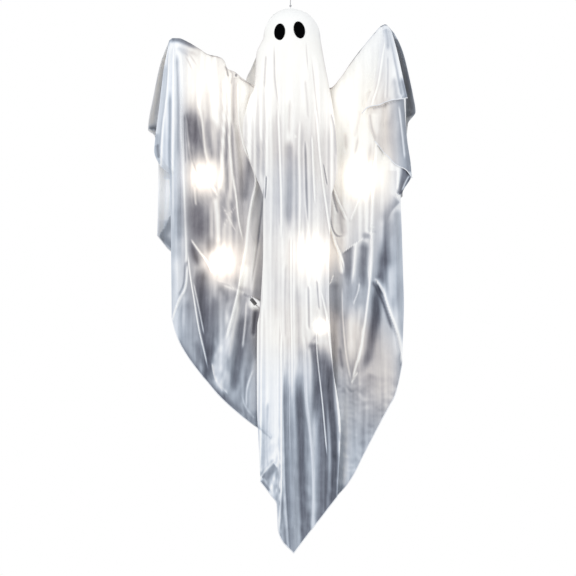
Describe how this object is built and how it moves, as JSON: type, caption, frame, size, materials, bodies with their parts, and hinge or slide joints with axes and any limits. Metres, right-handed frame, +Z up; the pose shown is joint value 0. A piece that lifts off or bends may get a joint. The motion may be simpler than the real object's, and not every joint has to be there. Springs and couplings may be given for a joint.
{
  "type": "light-up ghost figure",
  "caption": "Hanging ghost figure: sheer cloth over a round head and raised wire arms, felt eyes, a lamp string inside and a battery case behind the neck.",
  "frame": {"origin": "inside top of the hanging loop, where a hook carries the figure", "axes": "+Z up, the face looks along -Y, +X to the right seen from the front"},
  "size_m": [0.5868, 0.1541, 1.2891],
  "materials": {
    "gauze": "sheer woven gauze, grey-blue in its folds and white along the ridges",
    "felt": "flat black felt",
    "foam": "pressed white foam",
    "white_plastic": "satin moulded white plastic",
    "black_plastic": "black moulded plastic",
    "coated_steel": "white coated steel wire",
    "steel": "bright zinc-plated steel",
    "frosted": "frosted lamp globe, lit warm white",
    "cord": "clear-white insulated lamp cord",
    "line": "thin grey twisted line",
    "cell": "plain green wrapped cell"
  },
  "bodies": {
    "figure": {"hanging_loop": "line", "loop_knot": "line", "hanging_line": "line", "line_knot": "line", "crown_eye": "steel", "crown_washer": "coated_steel", "head_ball": "foam", "spine_rod": "coated_steel", "hub_front": "white_plastic", "hub_back": "white_plastic", "hub_screw_left": "steel", "hub_screw_right": "steel", "shoulder_wire": "coated_steel", "elbow_rivet_left": "steel", "elbow_rivet_right": "steel", "head_veil_front": "gauze", "head_veil_back": "gauze", "gown_left_front": "gauze", "gown_left_back": "gauze", "gown_right_front": "gauze", "gown_right_back": "gauze", "eye_left": "felt", "eye_right": "felt", "light_cord": "cord", "cord_clip": "black_plastic", "cord_tie": "white_plastic", "battery_case": "white_plastic", "battery_cell_1": "cell", "battery_cell_2": "cell", "battery_cell_3": "cell", "contact_plate_top": "steel", "contact_plate_bottom": "steel", "cord_grommet": "black_plastic", "light_globe_01": "frosted", "lamp_socket_01": "white_plastic", "light_globe_02": "frosted", "lamp_socket_02": "white_plastic", "light_globe_03": "frosted", "lamp_socket_03": "white_plastic", "light_globe_04": "frosted", "lamp_socket_04": "white_plastic", "light_globe_05": "frosted", "lamp_socket_05": "white_plastic", "light_globe_06": "frosted", "lamp_socket_06": "white_plastic", "light_globe_07": "frosted", "lamp_socket_07": "white_plastic", "light_globe_08": "frosted", "lamp_socket_08": "white_plastic", "light_globe_09": "frosted", "lamp_socket_09": "white_plastic", "light_globe_10": "frosted", "lamp_socket_10": "white_plastic"},
    "forearm_left": {"forearm_wire_left": "coated_steel", "hand_ball_left": "foam"},
    "forearm_right": {"forearm_wire_right": "coated_steel", "hand_ball_right": "foam"},
    "cover": {"battery_cover": "white_plastic"},
    "switch_knob": {"switch_slider": "black_plastic"}
  },
  "joints": [
    {"name": "left_elbow", "type": "hinge", "parent": "figure", "child": "forearm_left", "pos_m": [-0.155, 0, -0.2212], "axis": [0, 1, 0], "range_deg": [-20, 30], "deforming": ["gown_left_front", "gown_left_back"]},
    {"name": "right_elbow", "type": "hinge", "parent": "figure", "child": "forearm_right", "pos_m": [0.123, 0, -0.2407], "axis": [0, -1, 0], "range_deg": [-30, 15], "deforming": ["gown_right_front", "gown_right_back"]},
    {"name": "cover_slide", "type": "slide", "parent": "figure", "child": "cover", "axis": [0, 0, -1], "range_m": [0, 0.06]},
    {"name": "switch_slide", "type": "slide", "parent": "figure", "child": "switch_knob", "axis": [0, 0, 1], "range_m": [0, 0.003]}
  ]
}
